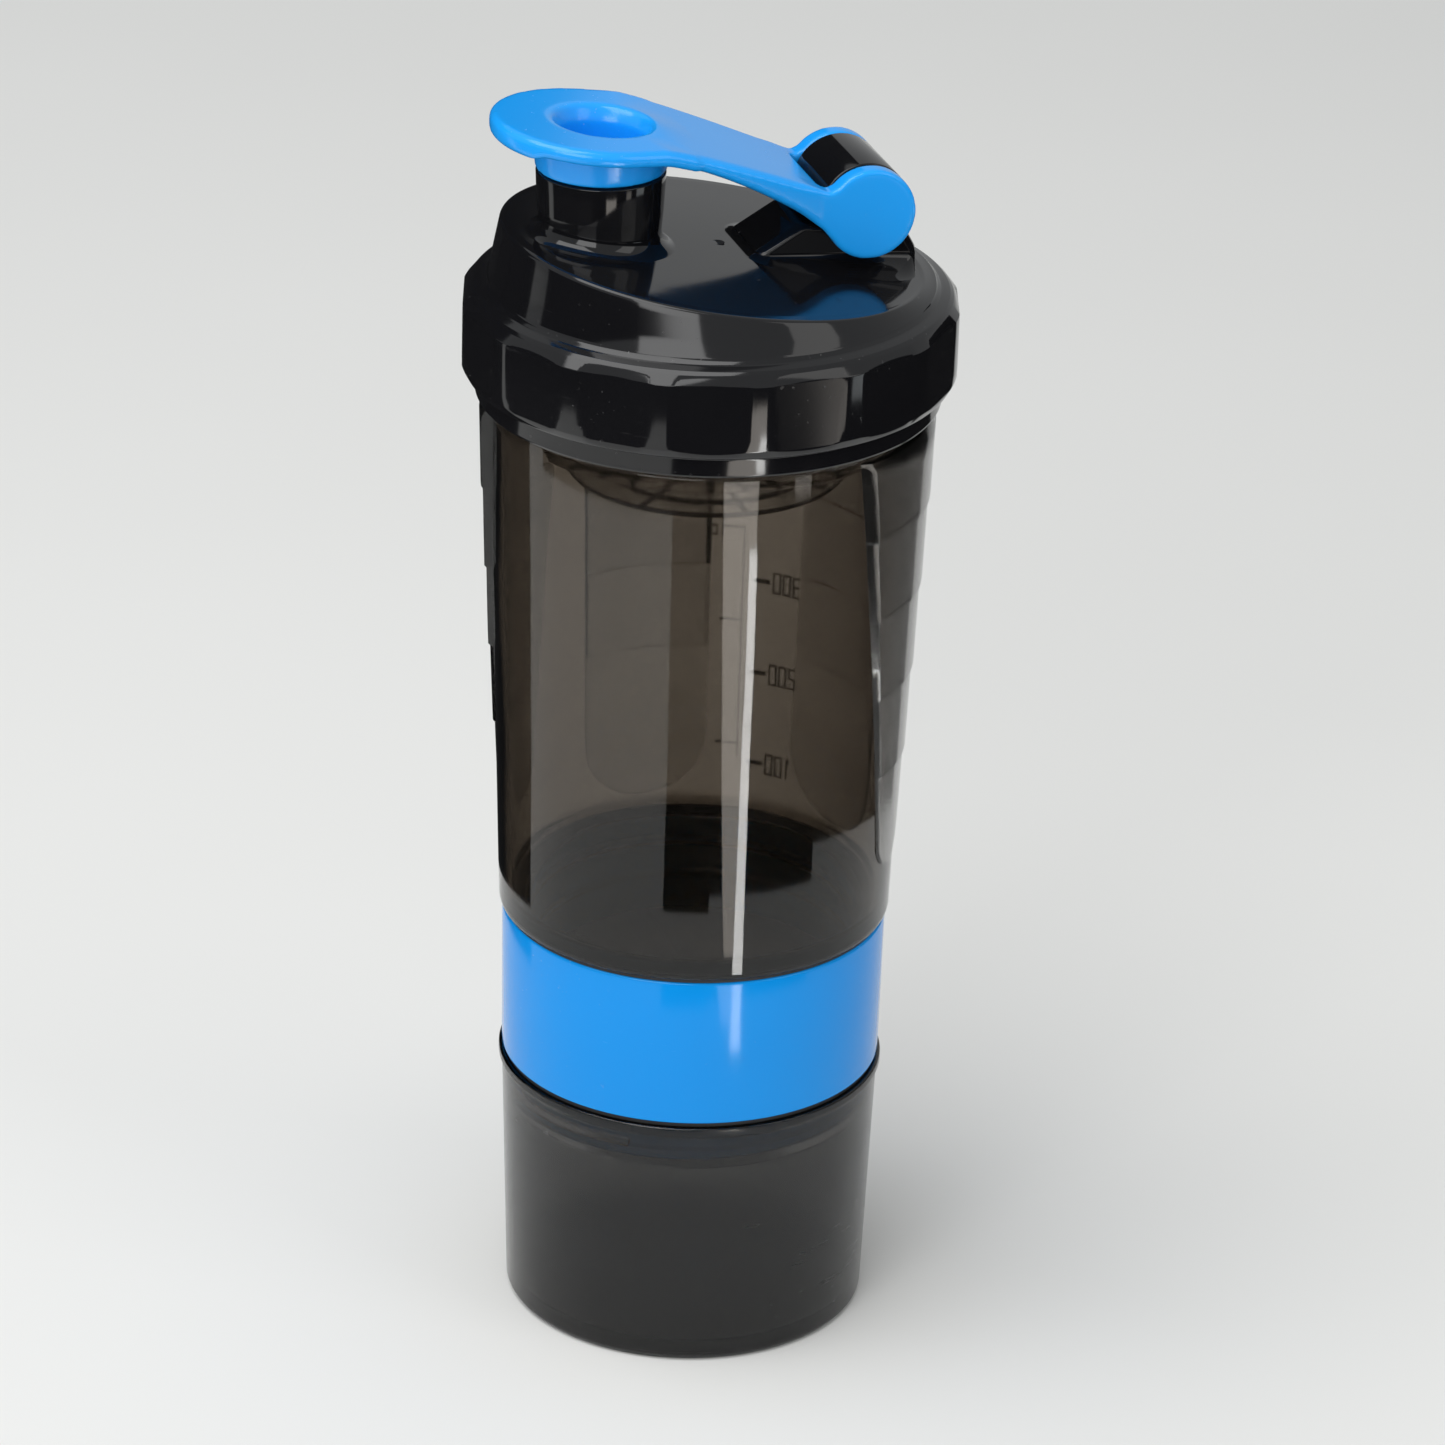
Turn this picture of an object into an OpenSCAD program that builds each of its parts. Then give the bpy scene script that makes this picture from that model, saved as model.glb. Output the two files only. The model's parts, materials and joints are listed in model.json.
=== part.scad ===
// Three-stage shaker bottle: screw lid with a flip cap, tumbler, storage box and jar.
// The jar stands on z = 0, the bottle's axis is the Z axis, the spout is at -X and the cap's hinge at +X.
// Every screw joint is right-handed, so the upper part turns anticlockwise from above to come off.

/* [Walls] */
// Thickness of the moulded walls
wall = 1.8; // [1.2:0.1:2.4]
// Thickness of the floors
floor_t = 2.0; // [1.2:0.1:3]
// Thickness of the flat gaskets
gasket_t = 0.9; // [0.6:0.1:1.5]
// Thickness of the seal in the lid
seal_t = 1.8; // [1:0.1:2.5]

/* [Jar] */
// Height of the jar to its rim
jar_h = 55; // [45:1:80]
// Outside radius of the jar at the foot
jar_foot_r = 37.1; // [34:0.1:40]
// Outside radius of the jar under its rim
jar_top_r = 38.8; // [37.5:0.1:46]
// How far the jar's rim stands proud of its wall
jar_rim_proud = 0.7; // [0.3:0.1:1.5]
// Height of the jar's rim bead
jar_rim_h = 2.2; // [1:0.1:4]

/* [Storage box] */
// Height of the box between the two gaskets
box_h = 31.9; // [28:0.5:60]
// Outside radius of the box where it meets the jar
box_low_r = 38.9; // [37.5:0.1:46]
// Outside radius of the box where it meets the tumbler
box_top_r = 39.3; // [38:0.1:46]
// Depth of the box's threaded neck
box_neck_h = 10.6; // [9:0.1:14]

/* [Pill tray] */
// Number of cells in the tray
tray_cells = 4; // [2:1:6]
// Height of the tray
tray_h = 20; // [10:0.5:24]
// Thickness of the tray's walls
tray_wall = 1.2; // [0.8:0.1:2]

/* [Tumbler] */
// Height of the tumbler from its shoulder to its rim
cup_h = 132.3; // [110:0.5:170]
// Outside radius of the tumbler at its shoulder
cup_low_r = 40.0; // [39:0.1:48]
// Outside radius of the tumbler under the lid
cup_top_r = 43.4; // [42:0.1:50]
// Outside radius of the tumbler's threaded mouth
mouth_r = 42.4; // [41:0.1:46]
// Depth of the tumbler's threaded neck
cup_neck_h = 14.7; // [12:0.1:18]

/* [Grips] */
// Directions of the tapered grip panels at the sides, from the hinge towards +Y
side_grips = [-34, 146];
// Directions of the broad grip panels at the back
back_grips = [22, 90];
// Half width of a side panel at its top, in degrees
side_half = 30; // [14:1:32]
// Radius of a side panel's round foot
side_foot_r = 7.4; // [4:0.1:10]
// Half width of a back panel, in degrees
back_half = 20; // [12:1:22]
// Height of the side panels' feet above the tumbler's shoulder
side_foot_h = 14.2; // [8:0.1:20]
// Height of the back panels' feet above the tumbler's shoulder
back_foot_h = 3.3; // [2:0.1:8]
// Number of scales in a grip panel
grip_scales = 5; // [3:1:5]
// How much further each scale stands out than the one below it
grip_rise = 0.42; // [0.2:0.02:0.6]

/* [Mixing grid] */
// Depth of the grid's rings below the tumbler's rim
grid_depth = 37; // [20:0.5:60]
// Radii of the grid's rings
grid_rings = [7.6, 14.2, 20.8, 27.8];
// Thickness of the grid's bars
grid_bar = 1.4; // [1:0.1:2.5]
// Number of spokes in the grid
grid_spokes = 8; // [4:2:12]

/* [Screw threads] */
// Pitch of the lid's thread
lid_pitch = 5; // [4:0.5:6]
// Pitch of the storage threads
box_pitch = 4; // [3.6:0.1:4.5]
// Height of a thread ridge
ridge_h = 1.3; // [1:0.1:1.6]
// Radial clearance between a ridge and the wall across from it
ridge_gap = 0.5; // [0.3:0.05:0.8]
// Turns of ridge on every thread
ridge_turns = 1.15; // [0.75:0.05:1.25]

/* [Lid] */
// Outside radius of the grip band
band_r = 49.5; // [48:0.1:58]
// Height of the grip band
band_h = 16.5; // [12:0.5:24]
// Height of the plain lip below the band
lip_h = 5; // [2:0.5:8]
// Number of flats on the band
band_flats = 16; // [8:1:24]
// Height of the dome at the spout, above the band
dome_h = 15.8; // [13:0.1:24]
// Fall of the dome's top over each millimetre towards the hinge
dome_fall = 0.145; // [0.1:0.005:0.15]
// Outside radius of the dome at its foot
dome_r = 44.2; // [43:0.1:47]
// How much the dome narrows over its height
dome_taper = 2.6; // [1:0.1:4]

/* [Spout] */
// Distance of the spout's axis from the bottle's axis
spout_x = 23.2; // [20:0.1:26]
// Outside radius of the spout at its mouth
spout_r = 12.8; // [11:0.1:14]
// Bore radius of the spout
spout_bore = 11.0; // [9.5:0.1:11.5]
// Height of the spout's mouth above the band
spout_h = 27.2; // [24:0.1:34]

/* [Flip cap] */
// Distance of the hinge axis from the bottle's axis
hinge_x = 28.3; // [26:0.1:32]
// Height of the hinge axis above the band
hinge_h = 17.9; // [17:0.1:24]
// Radius of the hinge ears and barrel
ear_r = 9.2; // [8:0.1:10]
// Half width of the cap over both ears
ear_out = 13.6; // [12:0.1:15]
// Thickness of one ear
ear_t = 4.2; // [3:0.1:5]
// Radius of the cap's round head
head_r = 20.3; // [17:0.1:23]
// Distance of the head's centre beyond the spout's axis
head_shift = 1.7; // [0:0.1:4]
// Thickness of the cap's plate
plate_t = 3.3; // [2.4:0.1:4.5]
// Radius of the pegs that the cap turns on
peg_r = 3.2; // [2.4:0.1:4]

/* [Fits] */
// Running clearance of a peg in its bore
peg_gap = 0.06; // [0.02:0.01:0.1]
// Clearance between curved faces that pass each other
gap = 0.3; // [0.2:0.05:0.5]
// Side clearance between an ear and the barrel
side_gap = 0.2; // [0.1:0.05:0.4]

/* [Hidden] */
$fn = 96;
eps = 0.01;

// Levels along the bottle
box_z = jar_h + gasket_t;
box_top_z = box_z + box_h;
cup_z = box_top_z + gasket_t;
rim_z = cup_z + cup_h;
lid_ledge_z = rim_z + seal_t;
band_top_z = rim_z + 0.5;
band_z = band_top_z - band_h;
lip_z = band_z - lip_h;

// Neck radii, worked out from the bores that they screw into
jar_bore = jar_top_r - wall;
box_neck_r = jar_bore - ridge_h - ridge_gap;
box_bore = box_top_r - wall;
cup_neck_r = box_bore - ridge_h - ridge_gap;
mouth_bore = mouth_r - wall;
lid_bore = mouth_r + ridge_h + ridge_gap;

// Threads: a ridge's widths at its root and tip, and the heights where the ridges in the bores start
ridge_root_w = 2.2;
ridge_tip_w = 1.2;
ridge_steps = 48;
ridge_start = 180;
bore_depth = 12;
jar_ridge_z = jar_h - bore_depth + 2.4;
box_ridge_z = box_top_z - bore_depth + 2.4;
lid_ridge_z = band_z + 1.5;

// The grid hangs in a rebate at the tumbler's rim, and the seal lies over both
rebate_h = 1.2;
rebate_r = mouth_bore + 0.9;
grid_wall = 1.0;
skirt_h = 8;
grid_skirt_r = mouth_bore - gap;
seal_in_r = mouth_bore - 0.6;

// Lid levels
dome_z = band_top_z + 2.6;
dome_top = band_top_z + dome_h;
spout_top = band_top_z + spout_h;
hinge_z = band_top_z + hinge_h;
dome_mid = dome_top - dome_fall * (dome_r - dome_taper);
barrel_half = ear_out - ear_t - side_gap;
room_r = min(seal_in_r, dome_r - dome_taper - wall);
roof_t = wall + 0.2;
rib_angle = 3.8;
first_rib = -28;

// Flip cap: the plate's top falls towards the hinge, and the pegs sit in blind bores in the barrel
plate_z = spout_top + 9.8;
plate_fall = 0.0945;
head_x = -spout_x - head_shift;
tip_x = head_x - head_r;
peg_len = 3.4;
function plate_top(x) = plate_z - plate_fall * (x + spout_x);

// Outside radius of the tumbler's plain wall
plain_top = lip_z - 1.5;
function cup_r(z) = cone_r(z, cup_z, cup_low_r, plain_top, cup_top_r);

// Grip panels: their top edge, the height of one scale, and how far the lowest scale runs on
panel_top = plain_top - 0.6;
run_on = 4;
grip_step = (panel_top - run_on - cup_z - side_foot_h) / grip_scales;
back_foot_r = cup_top_r * sin(back_half) * 0.94;

// Radius of a cone that runs from one radius to another between two heights
function cone_r(z, z0, r0, z1, r1) = r0 + (r1 - r0) * (z - z0) / (z1 - z0);

// A helical ridge on a wall: out = 1 stands outwards, out = -1 stands inwards
module ridge(wall_r, out, z0, pitch) {
    count = ceil(ridge_turns * ridge_steps);
    root = wall_r - out * 0.35;
    function fade(i) = min(1, 0.35 + 0.65 * min(i, count - i) / 5);
    function section(i) =
        let (a = ridge_start + 360 * ridge_turns * i / count,
             z = z0 + pitch * ridge_turns * i / count,
             tip = wall_r + out * ridge_h * fade(i),
             c = cos(a), s = sin(a))
        [[root * c, root * s, z - ridge_root_w / 2], [tip * c, tip * s, z - ridge_tip_w / 2],
         [tip * c, tip * s, z + ridge_tip_w / 2], [root * c, root * s, z + ridge_root_w / 2]];
    points = [for (i = [0 : count]) each section(i)];
    sides = [for (i = [0 : count - 1], k = [0 : 3])
        let (a = 4 * i + k, b = 4 * i + (k + 1) % 4)
        each [[a, b, b + 4], [a, b + 4, a + 4]]];
    last = 4 * count;
    ends = [[0, 3, 2], [0, 2, 1], [last, last + 1, last + 2], [last, last + 2, last + 3]];
    faces = concat(sides, ends);
    polyhedron(points, out < 0 ? [for (f = faces) [f[2], f[1], f[0]]] : faces);
}

// A flat ring
module ring(r_out, r_in, z, h) {
    translate([0, 0, z]) difference() {
        cylinder(r = r_out, h = h);
        translate([0, 0, -1]) cylinder(r = r_in, h = h + 2);
    }
}

module jar() {
    color("#3a3634") union() {
        rotate_extrude() polygon([
            [0, 0.6], [jar_foot_r - 4, 0.6], [jar_foot_r - 4.6, 0], [jar_foot_r - 1, 0],
            [jar_foot_r - 0.3, 0.3], [jar_foot_r, 1], [jar_top_r, jar_h - jar_rim_h],
            [jar_top_r + jar_rim_proud, jar_h - jar_rim_h + 0.6], [jar_top_r + jar_rim_proud, jar_h],
            [jar_bore, jar_h], [jar_bore, jar_h - bore_depth],
            [jar_foot_r - wall, floor_t + 2], [jar_foot_r - wall - 2, floor_t], [0, floor_t]]);
        ridge(jar_bore, -1, jar_ridge_z, box_pitch);
    }
}

module jar_gasket() {
    color("#1b1b1c") ring(box_low_r - 0.4, box_neck_r + gap, jar_h, gasket_t);
}

module storage_box() {
    low = box_z - box_neck_h;
    color("#1e8fe8") union() {
        rotate_extrude() polygon([
            [0, low], [box_neck_r - 0.8, low], [box_neck_r, low + 0.8], [box_neck_r, box_z],
            [box_low_r - 0.3, box_z], [box_low_r, box_z + 0.4], [box_top_r, box_top_z - 0.3],
            [box_top_r - 0.3, box_top_z], [box_bore, box_top_z], [box_bore, box_z + wall + 2],
            [box_neck_r - wall, box_z + wall - 1], [box_neck_r - wall, low + floor_t], [0, low + floor_t]]);
        ridge(box_neck_r, 1, jar_ridge_z + box_pitch / 2, box_pitch);
        ridge(box_bore, -1, box_ridge_z, box_pitch);
    }
}

module pill_tray() {
    z = box_z - box_neck_h + floor_t;
    r = box_neck_r - wall - gap;
    hub = 5;
    color("#e9eef2") difference() {
        translate([0, 0, z]) cylinder(r = r, h = tray_h);
        for (k = [0 : tray_cells - 1]) rotate([0, 0, 360 * k / tray_cells])
            intersection() {
                ring(r - tray_wall, hub, z + tray_wall, tray_h);
                translate([tray_wall / 2, tray_wall / 2, z])
                    cell_corner(360 / tray_cells, r, tray_h + tray_wall + 1);
            }
        translate([0, 0, z + tray_wall]) cylinder(r = hub - tray_wall, h = tray_h);
    }
}

// A wedge of the given angle between the +X direction and the turned one
module cell_corner(angle, r, h) {
    linear_extrude(h) polygon(concat([[0, 0]],
        [for (i = [0 : 6]) 2 * r * [cos(angle * i / 6), sin(angle * i / 6)]]));
}

module tumbler_gasket() {
    color("#1b1b1c") ring(box_top_r - 0.2, cup_neck_r + gap, box_top_z, gasket_t);
}

// One grip panel: scales that step outwards going up, in an outline that tapers to a round foot
module grip_panel(half, foot_r, foot_z) {
    half_w = cup_top_r * sin(half);
    reach = half + 4;
    intersection() {
        rotate([0, 0, -reach]) rotate_extrude(angle = 2 * reach)
            polygon(concat(
                [[cup_r(panel_top) - wall / 2, panel_top], [cup_r(foot_z) - wall / 2, foot_z]],
                [for (k = [0 : grip_scales - 1])
                    let (z0 = k == 0 ? foot_z : panel_top - (grip_scales - k) * grip_step,
                         z1 = panel_top - (grip_scales - k - 1) * grip_step,
                         out = grip_rise * (k + 1))
                    each [[cup_r(z0) + out, z0], [cup_r(z1) + out, z1]]]));
        rotate([90, 0, 90]) linear_extrude(cup_top_r + 10) {
            polygon([[-half_w, panel_top + 1], [half_w, panel_top + 1], [foot_r, foot_z + foot_r],
                     [-foot_r, foot_z + foot_r]]);
            translate([0, foot_z + foot_r]) circle(r = foot_r);
        }
    }
}

module tumbler() {
    low = cup_z - cup_neck_h;
    color("#4a3f39") union() {
        rotate_extrude() polygon([
            [0, low], [cup_neck_r - 0.8, low], [cup_neck_r, low + 0.8], [cup_neck_r, cup_z],
            [cup_low_r - 0.8, cup_z], [cup_low_r, cup_z + 1], [cup_top_r, plain_top],
            [mouth_r, plain_top + 1], [mouth_r, rim_z], [rebate_r, rim_z],
            [rebate_r, rim_z - rebate_h], [mouth_bore, rim_z - rebate_h], [mouth_bore, plain_top + 1],
            [cup_top_r - wall, plain_top - 3], [cup_low_r - wall, cup_z + wall + 2],
            [cup_neck_r - wall, cup_z + wall - 1], [cup_neck_r - wall, low + floor_t],
            [0, low + floor_t]]);
        for (a = side_grips) rotate([0, 0, a]) grip_panel(side_half, side_foot_r, cup_z + side_foot_h);
        for (a = back_grips) rotate([0, 0, a]) grip_panel(back_half, back_foot_r, cup_z + back_foot_h);
        ridge(cup_neck_r, 1, box_ridge_z + box_pitch / 2, box_pitch);
        ridge(mouth_r, 1, lid_ridge_z + lid_pitch / 2, lid_pitch);
    }
}

// Rim with a short skirt, a thin cone under it and a flat web of rings and spokes at its foot
module mixing_grid() {
    web_z = rim_z - grid_depth;
    outer = grid_rings[len(grid_rings) - 1] + grid_bar / 2;
    skirt_z = rim_z - skirt_h;
    skirt_in = grid_skirt_r - grid_wall;
    color("#2c2a29") union() {
        ring(rebate_r - gap, skirt_in, rim_z - rebate_h, rebate_h);
        rotate_extrude() polygon([
            [grid_skirt_r, rim_z - rebate_h + eps], [grid_skirt_r, skirt_z], [outer, web_z],
            [outer - grid_wall, web_z], [skirt_in, skirt_z], [skirt_in, rim_z - rebate_h + eps]]);
        for (r = grid_rings) ring(r + grid_bar / 2, r - grid_bar / 2, web_z, grid_bar);
        for (k = [0 : grid_spokes - 1]) rotate([0, 0, 360 * k / grid_spokes])
            translate([grid_rings[k % 2], -grid_bar / 2, web_z])
                cube([outer - grid_rings[k % 2] - grid_bar / 2, grid_bar, grid_bar]);
    }
}

module lid_seal() {
    color("#d8d8d4") ring(lid_bore - gap, seal_in_r, rim_z, seal_t);
}

// Everything below the dome's sloping top, lowered by the given depth
module below_top(depth) {
    size = 4 * band_r;
    translate([0, 0, dome_mid - depth]) rotate([0, atan(dome_fall), 0])
        translate([-size / 2, -size / 2, -size]) cube([size, size, size]);
}

// Side outline of the hinge post, in X and Z: a sloping front, a shoulder under the arm and a steep back
module post_outline() {
    front_x = 4;
    back_x = dome_r - 2.2;
    under_arm = 24;
    polygon([[front_x, dome_mid - dome_fall * front_x - 1], [front_x + 8.6, hinge_z - 2.4],
             [hinge_x - ear_r * cos(under_arm), hinge_z - ear_r * sin(under_arm)],
             [hinge_x, hinge_z], [hinge_x + ear_r, hinge_z], [back_x, dome_z + 1],
             [back_x - 3, dome_z + 0.4], [front_x, dome_mid - dome_fall * back_x - 1]]);
}

// Hollow inside the hinge post, below the barrel
module post_room() {
    half = barrel_half - wall;
    roof = hinge_z - ear_r - 1.6;
    back_x = dome_r - 6.4;
    translate([0, half, 0]) rotate([90, 0, 0]) linear_extrude(2 * half)
        polygon([[12, dome_z - 2], [16, dome_mid - 3], [22, roof], [back_x, roof], [back_x, dome_z - 2]]);
}

// Grip band with its flats, the lip under it and the ledge that the seal lies against
module lid_band() {
    flat_angle = 360 / band_flats;
    flat_at = band_r * cos((flat_angle - rib_angle) / 2);
    difference() {
        rotate_extrude() polygon([
            [lid_bore, lip_z], [lid_bore + 1.8, lip_z], [lid_bore + 2.2, lip_z + 0.5],
            [lid_bore + 2.2, band_z - 0.6], [band_r - 1.4, band_z - 0.2], [band_r - 0.4, band_z + 1],
            [band_r, band_z + 3], [band_r, band_top_z - 2.4], [band_r - 0.8, band_top_z - 0.6],
            [band_r - 2.4, band_top_z + 0.8], [dome_r + 1.4, band_top_z + 1.6],
            [dome_r + 0.2, dome_z - 0.4], [room_r - 1, dome_z - 0.4],
            [room_r - 1, lid_ledge_z], [lid_bore, lid_ledge_z]]);
        for (k = [0 : band_flats - 1]) rotate([0, 0, flat_angle * (k + 0.5) + first_rib])
            translate([flat_at, -band_r / 2, band_z - 3]) cube([10, band_r, band_h - 0.4]);
    }
}

module lid() {
    dome_cone_h = dome_h * 1.4;
    peg_bore_len = peg_len + 0.5;
    color("#141416") union() {
        difference() {
            union() {
                lid_band();
                intersection() {
                    translate([0, 0, band_top_z + 1.4])
                        cylinder(r1 = dome_r, r2 = dome_r - dome_taper * 1.4, h = dome_cone_h);
                    below_top(0);
                }
                translate([-spout_x, 0, dome_z])
                    cylinder(r1 = spout_r - 0.8, r2 = spout_r, h = spout_top - dome_z);
                translate([0, barrel_half, 0]) rotate([90, 0, 0])
                    linear_extrude(2 * barrel_half) post_outline();
                translate([hinge_x, barrel_half, hinge_z]) rotate([90, 0, 0])
                    cylinder(r = ear_r, h = 2 * barrel_half);
            }
            // room under the dome
            intersection() {
                translate([0, 0, lid_ledge_z - 1]) cylinder(r = room_r, h = dome_cone_h);
                below_top(roof_t);
            }
            post_room();
            // spout bore with a lead-in
            translate([-spout_x, 0, dome_z]) cylinder(r = spout_bore, h = spout_h);
            translate([-spout_x, 0, spout_top - 0.8])
                cylinder(r1 = spout_bore, r2 = spout_bore + 0.8, h = 0.8 + eps);
            // vent
            translate([1, 0, dome_z]) cylinder(r = 1.1, h = dome_h);
            // blind bores for the cap's pegs
            for (side = [-1, 1])
                translate([hinge_x, side * barrel_half + peg_bore_len, hinge_z]) rotate([90, 0, 0])
                    cylinder(r = peg_r + peg_gap, h = 2 * peg_bore_len);
        }
        ridge(lid_bore, -1, lid_ridge_z, lid_pitch);
    }
}

// Side outline of the flip cap's lever, in X and Z, with a finger lip under its tip
module lever_outline() {
    lip_t = plate_t + 1.2;
    lip_x = tip_x + 5.5;
    bend_x = -spout_x + 8;
    ear_top = [hinge_x - ear_r * cos(32), hinge_z + ear_r * sin(32)];
    ear_low = [hinge_x - ear_r * cos(15), hinge_z - ear_r * sin(15)];
    bend = plate_top(bend_x);
    // the arm's top and underside are two smooth falls from the plate to the ear
    function fall(x, z0, end, power) =
        z0 + (end[1] - z0) * pow((x - bend_x) / (end[0] - bend_x), power);
    polygon(concat(
        [[tip_x - 1, plate_top(tip_x - 1)], [tip_x - 1, plate_top(tip_x) - lip_t],
         [lip_x, plate_top(lip_x) - lip_t], [lip_x + 0.5, plate_top(lip_x) - plate_t]],
        [for (i = [0 : 8]) let (x = bend_x + (ear_low[0] - bend_x) * i / 8)
            [x, fall(x, bend - plate_t, ear_low, 1.35)]],
        [[hinge_x, hinge_z - 2], [hinge_x, hinge_z + 2]],
        [for (i = [8 : -1 : 0]) let (x = bend_x + (ear_top[0] - bend_x) * i / 8)
            [x, fall(x, bend, ear_top, 1.12)]]));
}

// Plan of the flip cap: a round head whose sides run straight to the ears
module lever_plan() {
    narrow = asin((head_r - ear_out) / (hinge_x - ear_r - head_x));
    steps = 40;
    side = concat(
        [for (i = [0 : steps]) let (a = 180 - (90 + narrow) * i / steps)
            [head_x + head_r * cos(a), head_r * sin(a)]],
        [[hinge_x - ear_r, ear_out], [hinge_x, ear_out]]);
    polygon(concat(side, [for (i = [len(side) - 1 : -1 : 1]) [side[i][0], -side[i][1]]]));
}

module flip_cap() {
    collar_z = spout_top + 0.25;
    plug_h = 6;
    plug_r = spout_bore - gap;
    plug_tip_r = plug_r - 1.5;
    well_r = plug_tip_r - 1.2;
    ear_in = ear_out - ear_t;
    color("#1e8fe8") difference() {
        union() {
            intersection() {
                translate([0, ear_out + head_r, 0]) rotate([90, 0, 0])
                    linear_extrude(2 * (ear_out + head_r)) lever_outline();
                translate([0, 0, hinge_z - 20]) linear_extrude(80) lever_plan();
            }
            for (side = [0, 1]) mirror([0, side, 0]) translate([hinge_x, ear_out, hinge_z])
                rotate([90, 0, 0]) cylinder(r = ear_r, h = ear_t);
            for (side = [0, 1]) mirror([0, side, 0])
                translate([hinge_x, ear_in + eps, hinge_z]) rotate([90, 0, 0])
                    cylinder(r = peg_r, h = peg_len - side_gap);
            translate([-spout_x, 0, collar_z])
                cylinder(r1 = spout_r + 0.1, r2 = spout_r + 0.9, h = plate_z - plate_t - collar_z + 0.6);
            translate([-spout_x, 0, collar_z - plug_h])
                cylinder(r1 = plug_tip_r, r2 = plug_r, h = plug_h + eps);
        }
        // well of the hollow plug, with an eased edge
        translate([-spout_x, 0, collar_z - plug_h + 1.6])
            cylinder(r1 = well_r - 0.5, r2 = well_r + 0.6, h = 30);
        translate([-spout_x + 0.1, 0, plate_z - 1.2]) rotate([0, atan(plate_fall), 0])
            cylinder(r1 = well_r - 0.4, r2 = well_r + 2.4, h = 2.8);
        // room between the ears for the barrel
        translate([hinge_x, ear_in, hinge_z]) rotate([90, 0, 0]) difference() {
            cylinder(r = ear_r + 2 * gap, h = 2 * ear_in);
            for (end = [0, 1]) translate([0, 0, end * (2 * ear_in - peg_len + side_gap) - end * eps])
                translate([0, 0, -eps]) cylinder(r = peg_r, h = peg_len - side_gap + 2 * eps);
        }
    }
}

jar();
jar_gasket();
storage_box();
pill_tray();
tumbler_gasket();
tumbler();
mixing_grid();
lid_seal();
lid();
flip_cap();
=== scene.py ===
"""Looks of the shaker bottle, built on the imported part's frame.

Lengths are in millimetres until a piece is finished; the room, its lights and its camera are in metres.
"""

import json
import math

import bmesh
import bpy
from mathutils import Matrix, Vector


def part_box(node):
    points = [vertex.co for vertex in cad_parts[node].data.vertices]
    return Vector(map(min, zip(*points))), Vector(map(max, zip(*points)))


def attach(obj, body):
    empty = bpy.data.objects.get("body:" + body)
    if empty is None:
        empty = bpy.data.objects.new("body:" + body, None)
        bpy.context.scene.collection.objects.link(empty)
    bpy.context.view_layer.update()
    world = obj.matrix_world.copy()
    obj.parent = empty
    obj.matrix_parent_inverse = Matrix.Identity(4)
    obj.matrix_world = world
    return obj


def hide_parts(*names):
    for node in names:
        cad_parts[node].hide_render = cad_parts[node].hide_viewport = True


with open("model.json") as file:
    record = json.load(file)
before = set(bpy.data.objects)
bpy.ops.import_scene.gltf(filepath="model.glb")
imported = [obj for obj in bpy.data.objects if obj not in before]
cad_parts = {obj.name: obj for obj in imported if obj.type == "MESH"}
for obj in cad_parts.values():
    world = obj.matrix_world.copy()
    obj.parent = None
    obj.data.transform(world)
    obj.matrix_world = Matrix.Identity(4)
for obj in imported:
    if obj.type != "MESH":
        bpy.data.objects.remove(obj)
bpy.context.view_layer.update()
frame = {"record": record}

MM = 0.001


def low_high(node):
    """Lowest and highest corner of a node, in millimetres."""
    low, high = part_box(node)
    return Vector(low) / MM, Vector(high) / MM


# Levels along the bottle
JAR_TOP = low_high("jar")[1].z
BOX_Z = low_high("jar_gasket")[1].z
BOX_LOW = low_high("storage_box")[0].z
BOX_TOP = low_high("storage_box")[1].z
CUP_Z = low_high("tumbler_gasket")[1].z
CUP_LOW = low_high("tumbler")[0].z
RIM = low_high("tumbler")[1].z
TRAY_LOW, TRAY_TOP = low_high("pill_tray")[0].z, low_high("pill_tray")[1].z
SEAL_TOP = low_high("lid_seal")[1].z
GRID_LOW = low_high("mixing_grid")[0].z
LIP = low_high("lid")[0].z
SPOUT_TOP = low_high("lid")[1].z
BAND_TOP = RIM + 0.5
BAND_HEIGHT = 16.5
BAND_Z = BAND_TOP - BAND_HEIGHT
PLAIN_TOP = LIP - 1.5

# Radii
JAR_RIM_R = low_high("jar")[1].x
BOX_R = low_high("storage_box")[1].x
BAND_R = low_high("lid")[1].y
GRID_R = low_high("mixing_grid")[1].x
TRAY_R = low_high("pill_tray")[1].x
CUP_LOW_R = 40.0
CUP_TOP_R = 43.4
MOUTH_R = 42.4
JAR_BORE_R = 37.0
BOX_NECK_R = 35.2
BOX_BORE_R = 37.5
CUP_NECK_R = 35.7
BAND_BORE_R = 44.2
WALL = 1.8
THREAD_PITCH = 4
LID_PITCH = 5

# Lid and flip cap
JOINTS = frame["record"]["behaviour"]["joints"]
HINGE = next(Vector(joint["pos_m"]) / MM for joint in JOINTS if joint["name"] == "cap_hinge")
EAR_R = low_high("flip_cap")[1].x - HINGE.x
EAR_OUT = 13.6
EAR_IN = 9.4
EAR_HALF = 2.1
BARREL_HALF = 9.2
SPOUT_X = -23.2
HEAD_X = -24.9
HEAD_R = low_high("flip_cap")[1].y
PLATE_Z = SPOUT_TOP + 9.8
PLATE_FALL = 0.0945
DOME_FOOT = BAND_TOP + 2.6
DOME_REF = BAND_TOP + 15.8
DOME_MID = BAND_TOP + 9.77
DOME_FALL = 0.145


def smooth(t):
    t = min(1.0, max(0.0, t))
    return t * t * (3 - 2 * t)


def mix(a, b, t):
    return a + (b - a) * t


# ---------------------------------------------------------------- mesh helpers

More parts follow.
